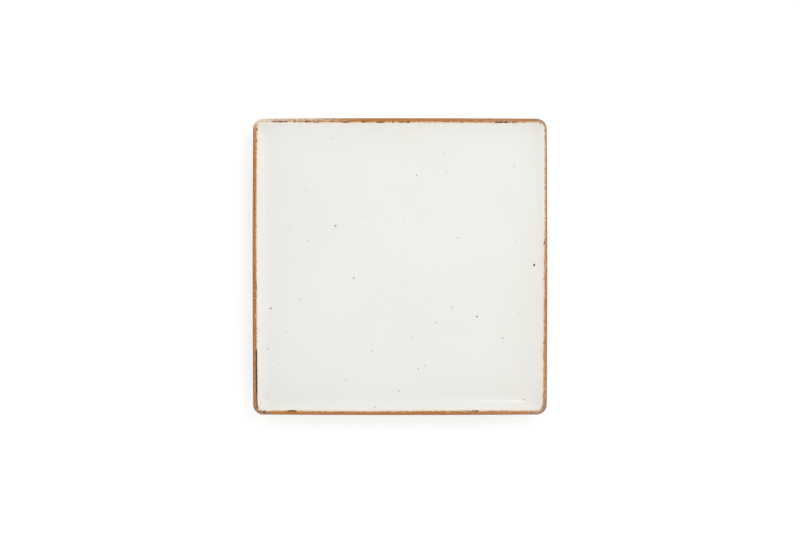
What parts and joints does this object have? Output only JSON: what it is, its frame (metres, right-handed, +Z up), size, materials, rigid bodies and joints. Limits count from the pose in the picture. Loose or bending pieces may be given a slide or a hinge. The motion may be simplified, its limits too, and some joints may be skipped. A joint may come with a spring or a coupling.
{
  "type": "square plate",
  "caption": "Square stoneware plate with a low upright rim, speckled off-white glaze, a worn brown rim band and a foot ring.",
  "frame": {"origin": "middle of the plate, on the surface that its foot ring stands on", "axes": "+Z up, out of the well; +X towards the right side and +Y towards the far side, along the slightly longer way"},
  "size_m": [0.27, 0.272, 0.018],
  "materials": {
    "bare_clay": "fired, matte, fine grained",
    "cream_glaze": "gloss, off-white with fine dark specks",
    "brown_rim": "satin, worn brown oxide"
  },
  "bodies": {
    "root": {"clay_body": "bare_clay", "well_glaze": "cream_glaze", "rim_band": "brown_rim", "outside_glaze": "cream_glaze", "base_glaze": "cream_glaze"}
  },
  "joints": []
}
